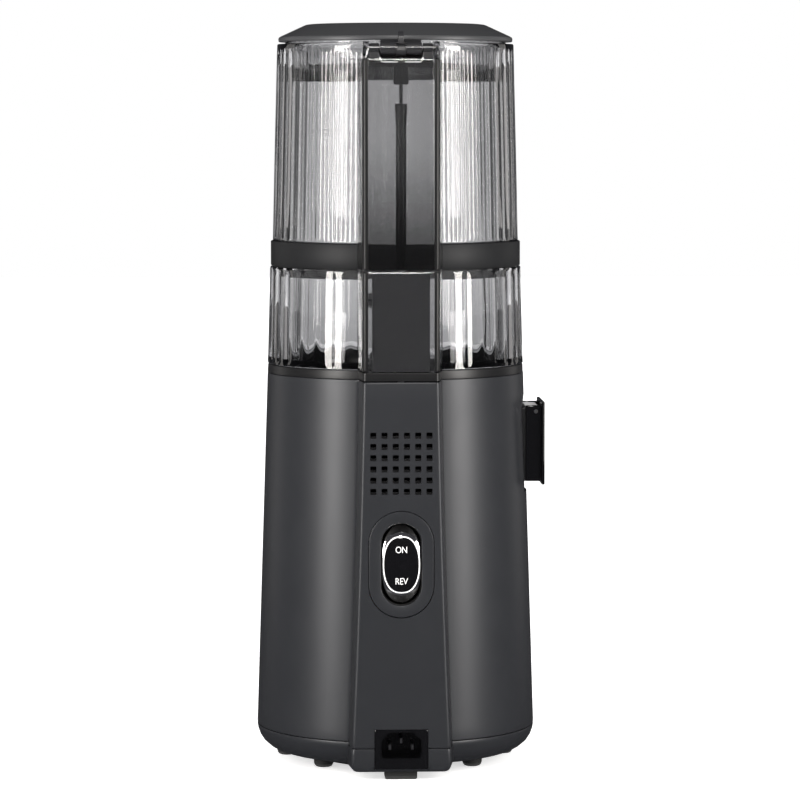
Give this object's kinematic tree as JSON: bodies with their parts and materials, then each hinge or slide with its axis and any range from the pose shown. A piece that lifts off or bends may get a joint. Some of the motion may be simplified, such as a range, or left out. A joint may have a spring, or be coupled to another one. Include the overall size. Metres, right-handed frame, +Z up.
{
  "type": "upright slow juicer",
  "caption": "Upright auger juicer: tapered motor base with rear spine, clear fluted bowl with juice spout and pulp chute, clear ribbed hopper and hinged lid.",
  "frame": {"origin": "On the worktop, under the middle of the object's bounding box.", "axes": "+Z up. The front faces -Y; the rear spine with the switch and the mains inlet faces +Y; the juice spout is at -X."},
  "size_m": [0.181, 0.1946, 0.4635],
  "materials": {
    "graphite_metallic": "fine metallic paint, satin",
    "dark_plastic": "satin",
    "gloss_black": "polished",
    "smoked_clear": "transparent, polished",
    "chrome_trim": "polished",
    "plain_steel": "turned",
    "black_rubber": "matte",
    "grey_silicone": "matte",
    "screw_plastic": "satin",
    "copper_windings": "varnished wire",
    "white_nylon": "moulded",
    "green_board": "lacquered"
  },
  "bodies": {
    "motor_base": {"base_cover": "graphite_metallic", "main_housing": "graphite_metallic", "rear_panel": "graphite_metallic", "bowl_seat": "dark_plastic", "foot_rear_left": "black_rubber", "foot_rear_right": "black_rubber", "foot_side_left": "black_rubber", "foot_side_right": "black_rubber", "foot_front_left": "black_rubber", "foot_front_right": "black_rubber", "foot_spine": "black_rubber", "switch_bezel": "graphite_metallic", "switch_block": "dark_plastic", "inlet_socket": "gloss_black", "inlet_blade_line": "plain_steel", "inlet_blade_neutral": "plain_steel", "inlet_blade_earth": "plain_steel", "control_board": "green_board", "safety_switch": "dark_plastic", "motor_stator": "plain_steel", "motor_windings": "copper_windings", "gearbox_case": "dark_plastic", "gearbox_cover": "dark_plastic", "lay_axle": "plain_steel", "gearbox_bearing": "plain_steel", "shaft_bearing": "plain_steel", "shaft_seal": "black_rubber"},
    "motor": {"motor_rotor": "plain_steel", "motor_fan": "dark_plastic"},
    "layshaft": {"compound_gear": "white_nylon"},
    "drive": {"output_gear": "white_nylon", "output_shaft": "plain_steel"},
    "power_rocker": {"rocker": "chrome_trim", "rocker_face": "gloss_black"},
    "interlock_plunger": {"switch_plunger": "grey_silicone"},
    "juicing_bowl": {"bowl": "smoked_clear", "bowl_duct": "smoked_clear", "bowl_duct_core": "dark_plastic", "outlet_apron": "dark_plastic", "juice_spout": "dark_plastic", "cap_pin": "plain_steel", "pulp_chute": "dark_plastic", "pulp_packing": "grey_silicone", "bowl_gasket": "grey_silicone"},
    "spout_cap": {"juice_cap": "gloss_black", "juice_cap_seal": "grey_silicone"},
    "interlock_transfer": {"transfer_pin": "grey_silicone"},
    "screw": {"lower_screw": "screw_plastic", "upper_screw": "screw_plastic", "cutting_wing": "plain_steel"},
    "hopper": {"hopper_ring": "graphite_metallic", "hopper_wall": "smoked_clear", "hopper_duct": "smoked_clear", "hinge_bracket": "dark_plastic", "lid_hinge_pin": "plain_steel"},
    "interlock_rod": {"push_rod": "dark_plastic"},
    "lid": {"lid_shell": "graphite_metallic", "lid_skirt": "smoked_clear", "lid_hinge_arm": "dark_plastic"}
  },
  "joints": [
    {"name": "motor_spin", "type": "hinge", "parent": "motor_base", "child": "motor", "pos_m": [0.00275, -0.00025, 0.06], "axis": [0, 0, 1], "continuous": true},
    {"name": "layshaft_spin", "type": "hinge", "parent": "motor_base", "child": "layshaft", "pos_m": [0.00275, -0.03625, 0.12], "axis": [0, 0, 1], "continuous": true},
    {"name": "drive_spin", "type": "hinge", "parent": "motor_base", "child": "drive", "pos_m": [0.00275, -0.00025, 0.15], "axis": [0, 0, 1], "continuous": true},
    {"name": "power_switch", "type": "hinge", "parent": "motor_base", "child": "power_rocker", "pos_m": [0.00275, 0.08675, 0.1333], "axis": [1, 0, 0], "range_deg": [-8, 8], "stiffness_Nm_per_rad": 0.02},
    {"name": "plunger_travel", "type": "slide", "parent": "motor_base", "child": "interlock_plunger", "axis": [0, 0, 1], "range_m": [0, 0.0021]},
    {"name": "bowl_lift", "type": "slide", "parent": "motor_base", "child": "juicing_bowl", "axis": [0, 0, 1], "range_m": [0, 0.1]},
    {"name": "spout_cap_hinge", "type": "hinge", "parent": "juicing_bowl", "child": "spout_cap", "pos_m": [-0.08505, -0.00025, 0.2208], "axis": [0, 1, 0], "range_deg": [0, 85]},
    {"name": "transfer_travel", "type": "slide", "parent": "juicing_bowl", "child": "interlock_transfer", "axis": [0, 0, 1], "range_m": [0, 0.0021]},
    {"name": "screw_spin", "type": "hinge", "parent": "juicing_bowl", "child": "screw", "pos_m": [0.00275, -0.00025, 0.22], "axis": [0, 0, 1], "continuous": true},
    {"name": "hopper_lift", "type": "slide", "parent": "juicing_bowl", "child": "hopper", "axis": [0, 0, 1], "range_m": [0, 0.08]},
    {"name": "rod_travel", "type": "slide", "parent": "hopper", "child": "interlock_rod", "axis": [0, 0, 1], "range_m": [0, 0.0021]},
    {"name": "lid_hinge", "type": "hinge", "parent": "hopper", "child": "lid", "pos_m": [0.00275, 0.08825, 0.447], "axis": [-1, 0, 0], "range_deg": [0, 95]}
  ],
  "couplings": [
    {"joint": "layshaft_spin", "follows": "motor_spin", "ratio": -0.2},
    {"joint": "drive_spin", "follows": "motor_spin", "ratio": 0.04},
    {"joint": "screw_spin", "follows": "motor_spin", "ratio": 0.04},
    {"joint": "rod_travel", "follows": "lid_hinge", "m_per_rad": 0.0012062},
    {"joint": "transfer_travel", "follows": "lid_hinge", "m_per_rad": 0.0012062},
    {"joint": "plunger_travel", "follows": "lid_hinge", "m_per_rad": 0.0012062}
  ]
}
